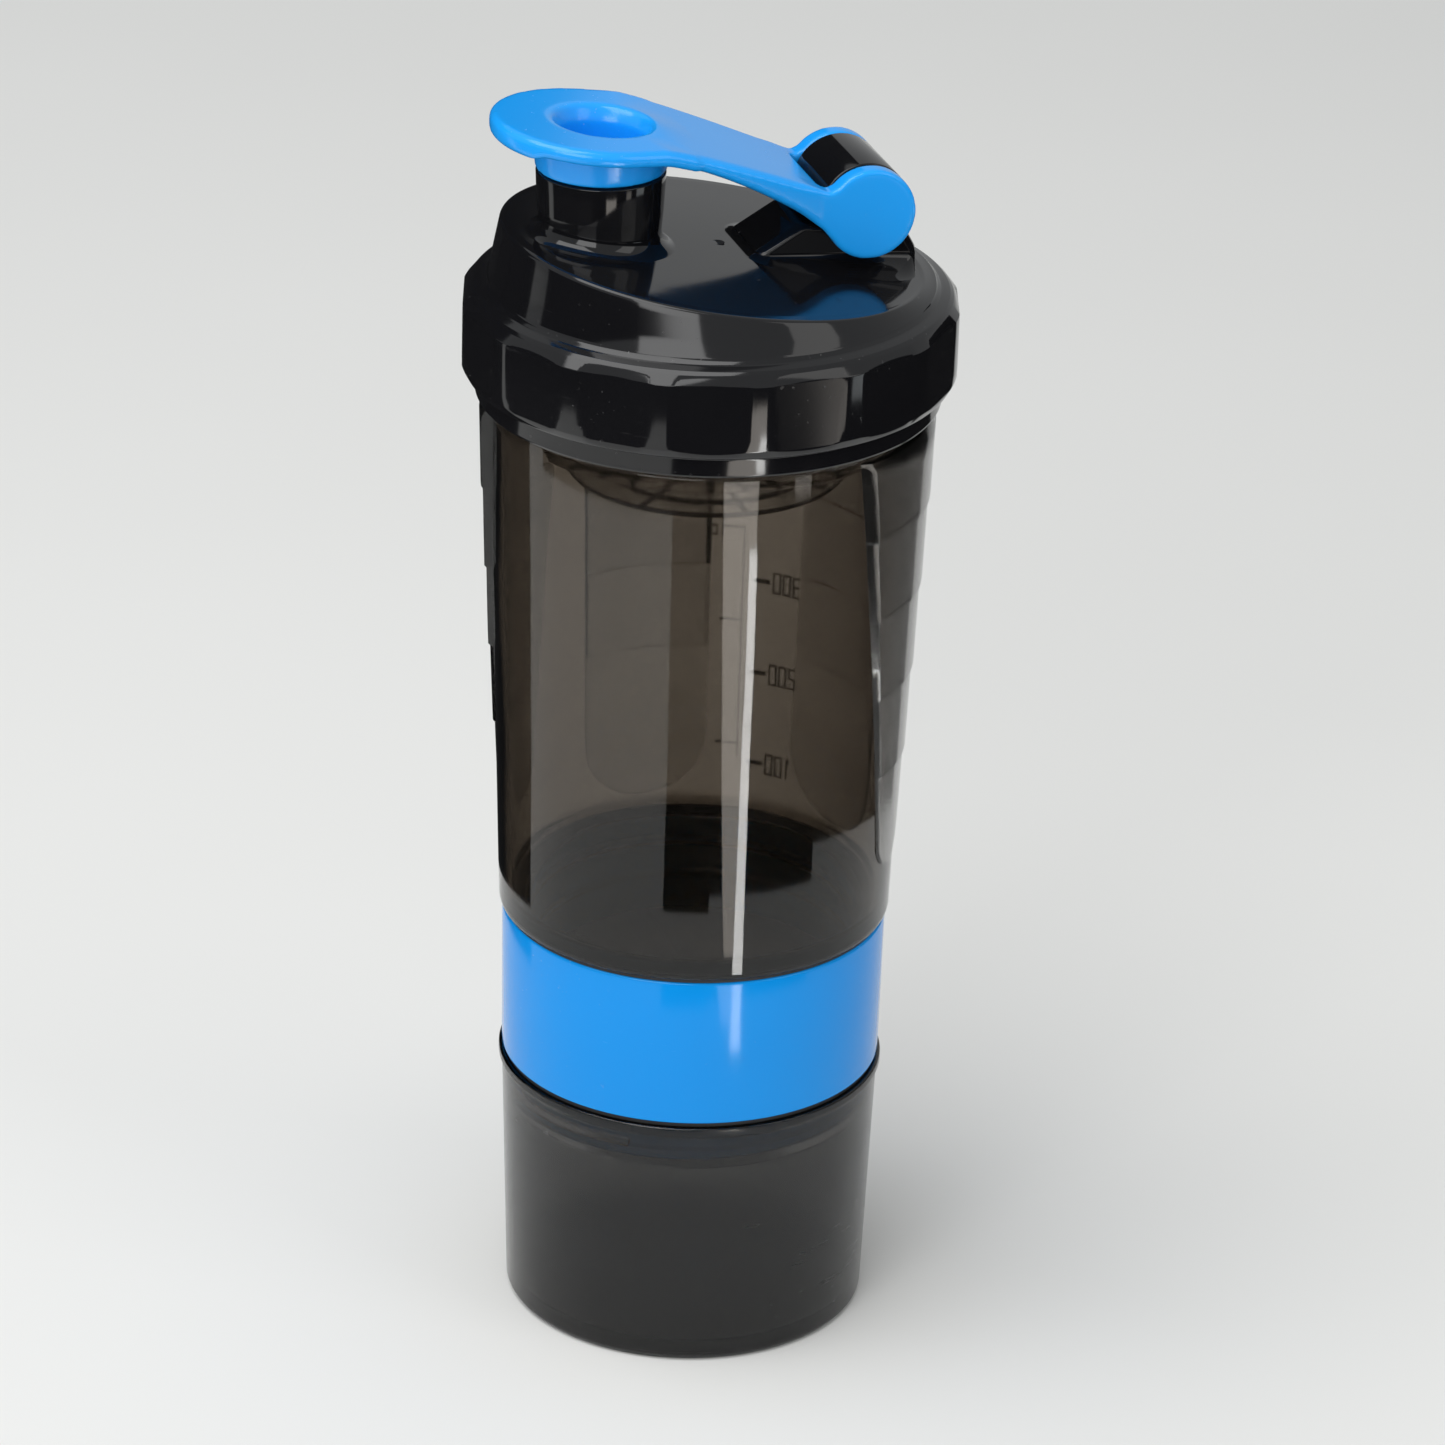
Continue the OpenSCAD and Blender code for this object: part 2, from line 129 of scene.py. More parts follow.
def eased(corners, steps=5, closed=True):
    """Outline through (x, z) or (x, z, ease) corners, with its corners rounded."""
    points = []
    count = len(corners)
    for i, corner in enumerate(corners):
        here = Vector(corner[:2])
        ease = corner[2] if len(corner) > 2 else 0.0
        if ease <= 0 or (not closed and i in (0, count - 1)):
            points.append(here)
            continue
        back = Vector(corners[i - 1][:2]) - here
        ahead = Vector(corners[(i + 1) % count][:2]) - here
        half = back.angle(ahead) / 2
        reach = min(ease / math.tan(half), 0.48 * back.length, 0.48 * ahead.length)
        start = here + back.normalized() * reach
        end = here + ahead.normalized() * reach
        for k in range(steps + 1):
            t = k / steps
            points.append(start * (1 - t) ** 2 + here * 2 * t * (1 - t) + end * t * t)
    return points


def filled(points, spacing):
    """The same open outline with no step longer than the spacing."""
    out = [points[0]]
    for a, b in zip(points, points[1:]):
        parts = max(1, math.ceil((b - a).length / spacing))
        out += [a.lerp(b, k / parts) for k in range(1, parts + 1)]
    return out


def turned(bm, points, closed, steps=192, centre=(0, 0, 0), axis="Z"):
    """Spins an (r, height) outline about an axis through the centre and returns its vertices."""
    across = Vector((1, 0, 0))
    along = Vector((0, 1, 0)) if axis == "Y" else Vector((0, 0, 1))
    before = set(bm.verts)
    verts = [bm.verts.new(Vector(centre) + across * p[0] + along * p[1]) for p in points]
    edges = [bm.edges.new(pair) for pair in zip(verts, verts[1:])]
    if closed:
        edges.append(bm.edges.new((verts[-1], verts[0])))
    bmesh.ops.spin(bm, geom=verts + edges, cent=centre, axis=along, angle=2 * math.pi,
                   steps=steps, use_merge=True, use_duplicate=False)
    made = [v for v in bm.verts if v not in before]
    bmesh.ops.remove_doubles(bm, verts=made, dist=0.002)
    return [v for v in bm.verts if v not in before]


def thread(bm, wall_r, out, z0, pitch, turns=1.15, height=1.3):
    """A helical ridge on a wall, standing outwards (out 1) or inwards (out -1), fading in at both ends."""
    steps = 110
    root = wall_r - out * 0.3
    shape = [(root, -1.1), (wall_r + out * height, -0.6), (wall_r + out * height, 0.6), (root, 1.1)]
    before = set(bm.verts)
    verts = [bm.verts.new((-r, 0, z0 + h)) for r, h in shape]
    face = bm.faces.new(verts)
    angle = 2 * math.pi * turns
    bmesh.ops.spin(bm, geom=[face], cent=(0, 0, 0), axis=(0, 0, 1), dvec=(0, 0, pitch * turns / steps),
                   angle=angle, steps=steps, use_merge=False, use_duplicate=False)
    for v in [v for v in bm.verts if v not in before]:
        done = (v.co.z - z0) / (pitch * turns)
        fade = smooth(min(done, 1 - done) * turns * 12 + 0.1)
        r = math.hypot(v.co.x, v.co.y)
        new_r = root + (r - root) * fade
        v.co.x *= new_r / r
        v.co.y *= new_r / r


def slab(bm, across, along, corner_of):
    """A closed slab: a grid whose lower and upper points are given by corner_of(u, v, side)."""
    made = bmesh.ops.create_grid(bm, x_segments=across, y_segments=along, size=1)
    low = made["verts"]
    faces = list({f for v in low for f in v.link_faces})
    place = {v: (v.co.x, v.co.y) for v in low}
    raised = bmesh.ops.extrude_face_region(bm, geom=faces, use_keep_orig=True)
    high = [g for g in raised["geom"] if isinstance(g, bmesh.types.BMVert)]
    for v in high:
        v.co = corner_of(v.co.x, v.co.y, 1)
    for v in low:
        v.co = corner_of(*place[v], 0)


def finish_piece(name, bm, body, material, node, sharp=32):
    """Turns the mesh into a finished piece in metres that rides on its body and replaces its node."""
    bmesh.ops.recalc_face_normals(bm, faces=bm.faces)
    bmesh.ops.scale(bm, vec=(MM, MM, MM), verts=bm.verts)
    for face in bm.faces:
        face.smooth = True
    for edge in bm.edges:
        edge.smooth = edge.calc_face_angle(0.0) < math.radians(sharp)
    mesh = bpy.data.meshes.new(name)
    bm.to_mesh(mesh)
    bm.free()
    mesh.materials.append(material)
    piece = bpy.data.objects.new(name, mesh)
    bpy.context.scene.collection.objects.link(piece)
    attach(piece, body)
    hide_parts(node)
    return piece


# ---------------------------------------------------------------- materials

class Value:
    """A socket that takes part in Python arithmetic; every operation adds its Math node."""

    def __init__(self, look, socket):
        self.look = look
        self.socket = socket

    def __add__(self, other):
        return self.look.maths("ADD", self, other)

    __radd__ = __add__

    def __mul__(self, other):
        return self.look.maths("MULTIPLY", self, other)

    __rmul__ = __mul__


class Look:
    """A procedural material under construction."""

    def __init__(self, name):
        self.material = bpy.data.materials.new(name)
        self.material.use_nodes = True
        self.tree = self.material.node_tree
        self.tree.nodes.clear()
        self.place = self.add("ShaderNodeTexCoord").outputs["Object"]

    def add(self, kind, settings=None, inputs=None):
        node = self.tree.nodes.new(kind)
        for key, value in (settings or {}).items():
            setattr(node, key, value)
        for key, value in (inputs or {}).items():
            if isinstance(value, Value):
                value = value.socket
            if isinstance(value, bpy.types.NodeSocket):
                self.tree.links.new(value, node.inputs[key])
            else:
                node.inputs[key].default_value = value
        return node

    def maths(self, operation, a, b):
        return Value(self, self.add("ShaderNodeMath", {"operation": operation}, {0: a, 1: b}).outputs[0])

    def noise(self, scale, detail=3.0, rough=0.5, stretch=(1, 1, 1)):
        """Noise between 0 and 1 at a scale given in waves per metre."""
        mapped = self.add("ShaderNodeMapping", {}, {"Vector": self.place, "Scale": stretch}).outputs[0]
        node = self.add("ShaderNodeTexNoise", {}, {"Vector": mapped, "Scale": scale, "Detail": detail,
                                                   "Roughness": rough})
        return Value(self, node.outputs["Fac"])

    def band(self, value, low, high):
        """0 below low, 1 above high."""
        node = self.add("ShaderNodeMapRange", {"interpolation_type": "SMOOTHSTEP"},
                        {"Value": value, "From Min": low, "From Max": high})
        return Value(self, node.outputs[0])

    def blend(self, amount, first, second):
        node = self.add("ShaderNodeMix", {"data_type": "RGBA"}, {0: amount, 6: first, 7: second})
        return Value(self, node.outputs[2])

    def bump(self, height, distance, strength=1.0):
        inputs = {"Height": height, "Distance": distance, "Strength": strength}
        node = self.add("ShaderNodeBump", {}, inputs)
        return Value(self, node.outputs["Normal"])

    def surface(self, inputs, volume=None):
        shader = self.add("ShaderNodeBsdfPrincipled", {}, inputs)
        out = self.add("ShaderNodeOutputMaterial", {}, {"Surface": shader.outputs[0]})
        if volume:
            colour, density = volume
            absorb = self.add("ShaderNodeVolumeAbsorption", {}, {"Color": colour, "Density": density})
            self.tree.links.new(absorb.outputs[0], out.inputs["Volume"])
        return self.material


def scratches(look):
    """Fine hairline marks, mostly around the bottle."""
    fine = look.noise(90, 6, 0.6, (1, 1, 14))
    where = look.noise(26, 2, 0.5)
    return look.band(fine, 0.62, 0.7) * look.band(where, 0.5, 0.66)


def smoke_plastic(name, volume, rough, grain=0.0):
    """Clear grey-brown plastic that darkens with its thickness."""
    look = Look(name)
    cloud = look.noise(38, 3)
    marks = scratches(look)
    roughness = cloud * 0.05 + marks * 0.16 + rough
    flow = look.noise(22, 1, 0.4) * 1.0
    inputs = {"Base Color": look.blend(cloud, (0.9, 0.89, 0.88, 1), (0.99, 0.985, 0.98, 1)),
              "Roughness": roughness, "IOR": 1.5, "Transmission Weight": 1.0}
    if grain:
        speck = look.noise(1500, 2, 0.6)
        inputs["Normal"] = look.bump(speck + flow * 2, 0.0001, grain)
    else:
        inputs["Normal"] = look.bump(flow, 0.0012, 0.22)
    return look.surface(inputs, volume)


def moulded_plastic(name, colour, shade, rough, waves=0.16, ior=1.5):
    """Solid glossy plastic with moulding flow, fine marks and a little dust."""
    look = Look(name)
    flow = look.noise(30, 2, 0.5)
    marks = scratches(look)
    dust = look.band(look.noise(700, 2, 0.7), 0.68, 0.76) * look.band(look.noise(45, 2), 0.45, 0.7)
    tint = look.blend(flow, colour, shade)
    tint = look.blend(dust * 0.16, tint, (0.5, 0.5, 0.5, 1))
    roughness = flow * 0.06 + marks * 0.2 + dust * 0.3 + rough
    inputs = {"Base Color": tint, "Roughness": roughness, "IOR": ior,
              "Normal": look.bump(look.noise(24, 1, 0.4), 0.0012, waves)}
    return look.surface(inputs)


def rubber(name, colour):
    """Soft rubber with a fine even grain."""
    look = Look(name)
    grain = look.noise(900, 4, 0.6)
    return look.surface({"Base Color": look.blend(grain, colour, tuple(c * 1.6 for c in colour[:3]) + (1,)),
                         "Roughness": grain * 0.2 + 0.55, "Normal": look.bump(grain, 0.0001, 0.4)})


def milky_plastic(name):
    """Pale cloudy plastic."""
    look = Look(name)
    cloud = look.noise(60, 3)
    return look.surface({"Base Color": look.blend(cloud, (0.72, 0.76, 0.8, 1), (0.82, 0.85, 0.88, 1)),
                         "Roughness": cloud * 0.15 + 0.38,
                         "Normal": look.bump(look.noise(800, 2), 0.0001, 0.2)})


def paper(name, colour, shade):
    """Matt paper, which mirrors nothing."""
    look = Look(name)
    grain = look.noise(5, 2)
    fibre = look.noise(900, 3)
    return look.surface({"Base Color": look.blend(grain, colour, shade), "Roughness": fibre * 0.1 + 0.6,
                         "Specular IOR Level": 0.0, "Normal": look.bump(fibre, 0.0001, 0.1)})


# Colour and density per metre of the clear plastics
SMOKE = ((0.35, 0.29, 0.215, 1), 860.0)
JAR_SMOKE = ((0.2, 0.195, 0.19, 1), 1150.0)
GRIP_SMOKE = ((0.3, 0.28, 0.26, 1), 330.0)
GRID_SMOKE = ((0.3, 0.26, 0.22, 1), 260.0)
smoke = smoke_plastic("smoke_tumbler", SMOKE, 0.015)
smoke_grip = smoke_plastic("smoke_grip", GRIP_SMOKE, 0.1, 0.12)
smoke_clear = smoke_plastic("smoke_clear", GRID_SMOKE, 0.05)
smoke_jar = smoke_plastic("smoke_jar", JAR_SMOKE, 0.16, 0.06)
black = moulded_plastic("black_lid", (0.004, 0.004, 0.005, 1), (0.007, 0.007, 0.008, 1), 0.05, 0.12)
azure_cap = moulded_plastic("azure_cap", (0.008, 0.36, 0.95, 1), (0.01, 0.32, 0.88, 1), 0.16)
azure_box = moulded_plastic("azure_box", (0.001, 0.295, 0.82, 1), (0.002, 0.27, 0.77, 1), 0.08,
                            ior=1.36)
mark_smoke = moulded_plastic("smoke_marks", (0.03, 0.026, 0.022, 1), (0.04, 0.035, 0.03, 1), 0.4)
grid_smoke = moulded_plastic("smoke_grid", (0.035, 0.03, 0.027, 1), (0.05, 0.043, 0.038, 1), 0.15)
gasket = rubber("gasket_black", (0.012, 0.012, 0.013, 1))
seal = rubber("seal_grey", (0.5, 0.5, 0.48, 1))
tray_plastic = milky_plastic("tray_milky")


# ---------------------------------------------------------------- jar and storage box

def build_jar():
    """The jar: a tapering cup with a foot ring, a rim and a thread inside its mouth."""
    bm = bmesh.new()
    foot = 37.1
    turned(bm, eased([
        (0, 0.6), (foot - 4, 0.6, 0.4), (foot - 4.6, 0, 0.3), (foot - 1, 0, 0.8), (foot, 1.2, 1.2),
        (38.8, JAR_TOP - 2.6, 0.3), (JAR_RIM_R, JAR_TOP - 1.8, 0.4), (JAR_RIM_R, JAR_TOP, 0.5),
        (JAR_BORE_R, JAR_TOP, 0.4), (JAR_BORE_R, 43.0, 1), (foot - WALL, 4.2, 2.2),
        (foot - WALL - 2.4, 2.0, 1.5), (0, 2.0)], closed=False), False)
    thread(bm, JAR_BORE_R, -1, 45.4, THREAD_PITCH)
    finish_piece("jar_shell", bm, "jar", smoke_jar, "jar")


def build_gaskets():
    """The two flat ring seals and the lid's grooved sealing ring."""
    for name, body, node, r_in, r_out, z in (
            ("jar_ring_seal", "jar_ring", "jar_gasket", 35.5, 38.45, JAR_TOP),
            ("cup_ring_seal", "cup_ring", "tumbler_gasket", 36.0, 39.05, BOX_TOP)):
        bm = bmesh.new()
        top = z + 0.9
        turned(bm, eased([(r_in, z, 0.1), (r_out, z, 0.2), (r_out + 0.02, z + 0.45, 0.2),
                          (r_out, top, 0.2), (r_in, top, 0.1)], 3), True)
        finish_piece(name, bm, body, gasket, node)
    bm = bmesh.new()
    turned(bm, eased([(40.0, RIM, 0.2), (43.8, RIM, 0.2), (43.8, SEAL_TOP, 0.3), (42.4, SEAL_TOP, 0.2),
                      (42.0, SEAL_TOP - 0.4, 0.2), (41.0, SEAL_TOP - 0.4, 0.2), (40.6, SEAL_TOP, 0.2),
                      (40.0, SEAL_TOP, 0.2)], 3), True)
    finish_piece("lid_sealing_ring", bm, "lid_ring", seal, "lid_seal")


def build_box():
    """The storage box: a threaded neck below, a tapering wall and a threaded mouth above."""
    bm = bmesh.new()
    neck = BOX_NECK_R
    turned(bm, eased([
        (0, BOX_LOW), (neck, BOX_LOW, 1.2), (neck, BOX_Z, 0.3), (38.9, BOX_Z, 0.5),
        (BOX_R, BOX_TOP, 0.6), (BOX_BORE_R, BOX_TOP, 0.5), (BOX_BORE_R, BOX_Z + 3.8, 2),
        (neck - WALL, BOX_Z + 0.8, 2), (neck - WALL, BOX_LOW + 2, 1.5), (0, BOX_LOW + 2)],
        closed=False), False)
    thread(bm, neck, 1, 47.4, THREAD_PITCH)
    thread(bm, BOX_BORE_R, -1, 78.2, THREAD_PITCH)
    finish_piece("box_shell", bm, "storage", azure_box, "storage_box")


def build_tray():
    """The pill tray: a shallow dish with a hollow post and four walls."""
    bm = bmesh.new()
    r = TRAY_R
    wall_t = 1.2
    floor = TRAY_LOW + wall_t
    post_out, post_in = 5, 3.8
    turned(bm, eased([(0, TRAY_LOW), (r, TRAY_LOW, 0.8), (r, TRAY_TOP, 0.4), (r - wall_t, TRAY_TOP, 0.4),
                      (r - wall_t, floor, 1), (post_out, floor, 0.8), (post_out, TRAY_TOP, 0.3),
                      (post_in, TRAY_TOP, 0.3), (post_in, floor, 0.4), (0, floor)],
                     4, closed=False), False, 96)
    for k in range(4):
        wall = bmesh.ops.create_cube(bm, size=1)["verts"]
        bmesh.ops.scale(bm, vec=(r - 5.4, wall_t, TRAY_TOP - TRAY_LOW - 1.4), verts=wall)
        bmesh.ops.translate(bm, vec=((r + 4.2) / 2, 0, (TRAY_TOP + TRAY_LOW) / 2 + 0.4), verts=wall)
        bmesh.ops.bevel(bm, geom=list({e for v in wall for e in v.link_edges}), offset=0.3, segments=2,
                        affect="EDGES", profile=0.5, material=-1)
        turn = Matrix.Rotation(math.pi / 2, 3, "Z")
        bmesh.ops.rotate(bm, cent=(0, 0, 0), matrix=turn, verts=bm.verts)
    finish_piece("tray_shell", bm, "storage", tray_plastic, "pill_tray")


# ---------------------------------------------------------------- tumbler

def cup_r(z):
    """The tumbler's outer radius at a height."""
    return mix(CUP_LOW_R, CUP_TOP_R, (z - CUP_Z) / (PLAIN_TOP - CUP_Z))


def build_tumbler():
    """The tumbler's shell, with its threaded neck and mouth."""
    bm = bmesh.new()
    neck = CUP_NECK_R
    bore = MOUTH_R - WALL
    turned(bm, eased([
        (0, CUP_LOW), (neck, CUP_LOW, 1.2), (neck, CUP_Z, 0.3), (CUP_LOW_R - 0.2, CUP_Z, 0.7),
        (CUP_LOW_R, CUP_Z + 1.2, 1), (CUP_TOP_R, PLAIN_TOP, 0.8), (MOUTH_R, PLAIN_TOP + 1, 0.8),
        (MOUTH_R, RIM, 0.4), (bore + 0.9, RIM, 0.3), (bore + 0.9, RIM - 1.2, 0.1), (bore, RIM - 1.2, 0.3),
        (bore, PLAIN_TOP + 1, 1), (CUP_TOP_R - WALL, PLAIN_TOP - 3, 1), (CUP_LOW_R - WALL, CUP_Z + 4, 3),
        (neck - WALL, CUP_Z, 2), (neck - WALL, CUP_LOW + 2, 2), (0, CUP_LOW + 2)],
        closed=False), False, 240)
    thread(bm, MOUTH_R, 1, BAND_Z + 4, LID_PITCH)
    thread(bm, neck, 1, 80.2, THREAD_PITCH)
    finish_piece("tumbler_shell", bm, "cup", smoke, "tumbler")


# Grip panels: direction, half width at the top, radius of the round foot and height of the foot
SIDE_FOOT = 14.2
SIDE_GRIP = (21.6, 7.4, CUP_Z + SIDE_FOOT)
BACK_GRIP = (14.8, 13.9, CUP_Z + 3.3)
GRIPS = ((-34, SIDE_GRIP), (22, BACK_GRIP), (90, BACK_GRIP), (146, SIDE_GRIP))
GRIP_TOP = PLAIN_TOP - 0.65
GRIP_SCALES = 5
GRIP_STEP = (PLAIN_TOP - 0.6 - 4 - CUP_Z - SIDE_FOOT) / GRIP_SCALES
SCALE_RISE = 0.42


def grip_rise(z):
    """How far the panel's scales stand out at a height, with a short slope at each ledge."""
    down = (GRIP_TOP - z) / GRIP_STEP
    scale = GRIP_SCALES - min(GRIP_SCALES - 1, math.floor(down))
    into = (down - math.floor(down)) * GRIP_STEP
    rise = SCALE_RISE * scale
    # the foot of each scale rolls off over its last half millimetre
    if scale > 1 and into > GRIP_STEP - 0.5:
        rise -= SCALE_RISE * smooth((into - GRIP_STEP + 0.5) / 0.5)
    return rise


def grip_panel(name, direction, top_w, foot_r, foot_z):
    """One panel: a tapering outline with a round foot, and scales that stand out further going up."""
    heights = [foot_z + foot_r * (1 - math.cos(math.pi * t / 40)) + 0.02 for t in range(21)]
    # rows lie close together round each ledge
    below = (0, 0.15, 2, 6, 10, 14, 16.5, 17.5, 17.72, 17.84, 17.96, 18.08)
    for k in range(GRIP_SCALES + 1):
        heights += [GRIP_TOP - k * GRIP_STEP - d for d in below]
    heights = sorted(set(round(z, 3) for z in heights if foot_z < z <= GRIP_TOP))
    rows = len(heights) - 1
    centre_z = foot_z + foot_r
    bm = bmesh.new()

    def corner_of(u, v, side):
        z = heights[round((v + 1) / 2 * rows)]
        if z >= centre_z:
            w = mix(foot_r, top_w, (z - centre_z) / (GRIP_TOP - centre_z))
        else:
            w = math.sqrt(max(0.0001, foot_r ** 2 - (centre_z - z) ** 2))
        edge = min(1.0, (1 - abs(u)) * w / 0.7)
        top_ease = min(1.0, (GRIP_TOP - z) / 0.5 + 0.3)
        rise = 0.04 + side * (0.08 + (grip_rise(z) - 0.1) * smooth(edge) * top_ease)
        r = cup_r(z) + rise
        a = math.radians(direction) + math.asin(u * w / r)
        return Vector((r * math.cos(a), r * math.sin(a), z))

    slab(bm, 40, rows, corner_of)
    finish_piece(name, bm, "cup", smoke_grip, "tumbler", 25)


def build_grips():
    for number, (direction, shape) in enumerate(GRIPS):
        grip_panel(f"grip_panel_{number + 1}", direction, *shape)


# Strokes of each figure, from corner to corner of a box that is 1 wide and 2 tall
STROKES = {
    "0": [((0, 0), (1, 0)), ((1, 0), (1, 2)), ((1, 2), (0, 2)), ((0, 2), (0, 0))],
    "1": [((0.6, 0), (0.6, 2)), ((0.6, 2), (0.25, 1.7))],
    "2": [((0, 2), (1, 2)), ((1, 2), (1, 1)), ((1, 1), (0, 1)), ((0, 1), (0, 0)), ((0, 0), (1, 0))],
    "3": [((0, 2), (1, 2)), ((1, 2), (1, 0)), ((1, 0), (0, 0)), ((0.2, 1), (1, 1))],
    "4": [((0, 2), (0, 1)), ((0, 1), (1, 1)), ((1, 2), (1, 0))],
}


def build_scale():
    """Raised figures and lines on the wall, read from outside."""
    bm = bmesh.new()

    def bar(angle, z, run, rise, width):
        """One raised bar from a point on the wall: run goes round the wall, rise goes up."""
        long = math.hypot(run, rise)
        verts = bmesh.ops.create_cube(bm, size=1)["verts"]
        bmesh.ops.scale(bm, vec=(long + width, width, 0.3), verts=verts)
        turn = Matrix.Rotation(math.atan2(rise, run), 3, "Z")
        bmesh.ops.rotate(bm, cent=(0, 0, 0), matrix=turn, verts=verts)
        for v in verts:
            r = cup_r(z) + 0.1 + v.co.z
            a = math.radians(angle) + (run / 2 + v.co.x) / r
            v.co = Vector((r * math.cos(a), r * math.sin(a), z + rise / 2 + v.co.y))

    def figures(words, angle, z, tall):
        """Figures side by side, centred on a direction and a height."""
        unit = tall / 2
        wide = unit * 0.72
        start = -(len(words) * 1.55 - 0.55) * wide / 2
        for i, sign in enumerate(words):
            for (x0, y0), (x1, y1) in STROKES[sign]:
                at = angle + math.degrees((start + (i * 1.55 + x0) * wide) / 42)
                bar(at, z + (y0 - 1) * unit, (x1 - x0) * wide, (y1 - y0) * unit, 0.32)

    # a short bar and its figures at each hundred, then three fine lines and the rule that joins them
    for k, z in enumerate((100, 120.4, 141, 161.3)):
        bar(52.4, z, 2.8, 0, 0.85)
        figures(f"{k + 1}00", 46.3, z, 4.3)
    for z in (103.8, 131.7, 152.4):
        bar(60.4, z, 4.6, 0, 0.35)
    bar(60, 100.7, 0, 51.8, 0.3)
    figures("12", 68, 152.4, 4.0)
    finish_piece("scale_relief", bm, "cup", mark_smoke, "tumbler")


GRID_RINGS = (7.6, 14.2, 20.8, 27.8)


def build_grid():
    """Hanging grid: a rim and skirt, a thin cone and a flat web of round bars at its foot."""
    bm = bmesh.new()
    skirt = MOUTH_R - WALL - 0.3
    rim_r = GRID_R - 0.05
    turned(bm, eased([(skirt - 1.2, RIM - 8, 0.4), (skirt, RIM - 8, 0.4), (skirt, RIM - 1.3, 0.1),
                      (rim_r, RIM - 1.2, 0.3), (rim_r, RIM, 0.3), (skirt - 1.2, RIM, 0.3)], 3),
           True, 128)
    z = GRID_LOW + 0.75
    outer = GRID_RINGS[-1] + 0.7
    bar_r = 0.55
    for ring in GRID_RINGS:
        turned(bm, [(ring + bar_r * math.cos(t * math.pi / 6), z + bar_r * math.sin(t * math.pi / 6))
                    for t in range(12)], True, 96)
    for k in range(8):
        way = Vector((math.cos(k * math.pi / 4), math.sin(k * math.pi / 4), 0))
        start = way * GRID_RINGS[k % 2]
        end = way * (outer - 0.8)
        made = bmesh.ops.create_cone(bm, cap_ends=True, segments=12, radius1=0.5, radius2=0.5,
                                     depth=(end - start).length)["verts"]
        turn = way.to_track_quat("Z", "Y").to_matrix()
        bmesh.ops.rotate(bm, cent=(0, 0, 0), matrix=turn, verts=made)
        bmesh.ops.translate(bm, vec=(start + end) / 2 + Vector((0, 0, z)), verts=made)
    finish_piece("grid_web", bm, "cup", grid_smoke, "mixing_grid")
    bm = bmesh.new()
    cone_low, cone_top = GRID_LOW + 1.4, RIM - 8.1
    turned(bm, [(skirt, cone_top), (outer, cone_low), (outer - 1, cone_low), (skirt - 1, cone_top)],
           True, 128)
    finish_piece("grid_cone", bm, "cup", smoke_clear, "mixing_grid")


# ---------------------------------------------------------------- lid

def dome_top(x, y):
    """Height of the dome's sloping, slightly crowned top."""
    away = min(1.0, math.hypot(x, y) / 40)
    return DOME_MID - DOME_FALL * x - 0.6 * away * away


def build_band():
    """The lid's band: a turned ring with a lip below, and flats cut into its middle."""
    bm = bmesh.new()
    lip_r = 46.4
    outline = eased([
        (BAND_BORE_R, LIP, 0.2), (lip_r - 0.3, LIP, 0.5), (lip_r, LIP + 0.6, 0.4),
        (lip_r, BAND_Z - 0.7, 0.8), (BAND_R - 1.2, BAND_Z - 0.2, 0.9),
        (BAND_R - 0.2, BAND_Z + 1.6, 1.2), (BAND_R, BAND_Z + 4), (BAND_R, BAND_TOP - 4),
        (BAND_R, BAND_TOP - 2.2), (BAND_R - 0.05, BAND_TOP - 1.5, 0.5),
        (BAND_R - 1.6, BAND_TOP + 0.4, 1.4), (47.2, BAND_TOP + 1, 0.5), (45.7, BAND_TOP + 1.5, 0.6),
        (44.3, BAND_TOP + 2.1, 0.5), (38.8, BAND_TOP + 2.1), (38.8, SEAL_TOP), (BAND_BORE_R, SEAL_TOP)])
    made = turned(bm, outline, True, 480)
    flat = 22.5
    ridge = 3.8
    flat_first = 28
    flat_at = 49.5 * math.cos(math.radians((flat - ridge) / 2))
    for v in made:
        r = math.hypot(v.co.x, v.co.y)
        if r < lip_r + 0.2 or v.co.z < BAND_Z - 0.5 or v.co.z > BAND_TOP + 1:
            continue
        angle = math.degrees(math.atan2(v.co.y, v.co.x)) + flat_first
        off = (angle % flat) - flat / 2
        limit = flat_at / math.cos(math.radians(off))
        fade = smooth((v.co.z - BAND_Z + 0.3) / 0.6)
        if r > limit:
            new_r = mix(r, limit, fade)
            v.co.x *= new_r / r
            v.co.y *= new_r / r
    thread(bm, BAND_BORE_R, -1, BAND_Z + 1.5, LID_PITCH)
    finish_piece("lid_band", bm, "lid", black, "lid", 40)


def build_dome():
    """The lid's dome: turned level first, then stretched up to its sloping top."""
    bm = bmesh.new()
    top = DOME_REF
    outer = [(46.0, BAND_TOP + 1.0), (45.3, BAND_TOP + 1.7, 0.5), (44.4, BAND_TOP + 2.4, 1.4),
             (43.6, BAND_TOP + 6), (41.9, top - 0.2, 1.3), (39.5, top, 1.2), (34, top - 0.05), (0, top)]
    inner = [(0, top - 2), (39.4, top - 2, 1), (39.8, BAND_TOP + 1.2)]
    points = filled(eased(outer, 8, closed=False), 1.6) + eased(inner, closed=False)
    made = turned(bm, points, True, 240)
    for v in made:
        if v.co.z > DOME_FOOT:
            share = (v.co.z - DOME_FOOT) / (top - DOME_FOOT)
            r = math.hypot(v.co.x, v.co.y)
            reach = min(1.0, 41.0 / max(r, 1e-6))
            v.co.z = DOME_FOOT + share * (dome_top(v.co.x * reach, v.co.y * reach) - DOME_FOOT)
    finish_piece("lid_dome", bm, "lid", black, "lid", 50)


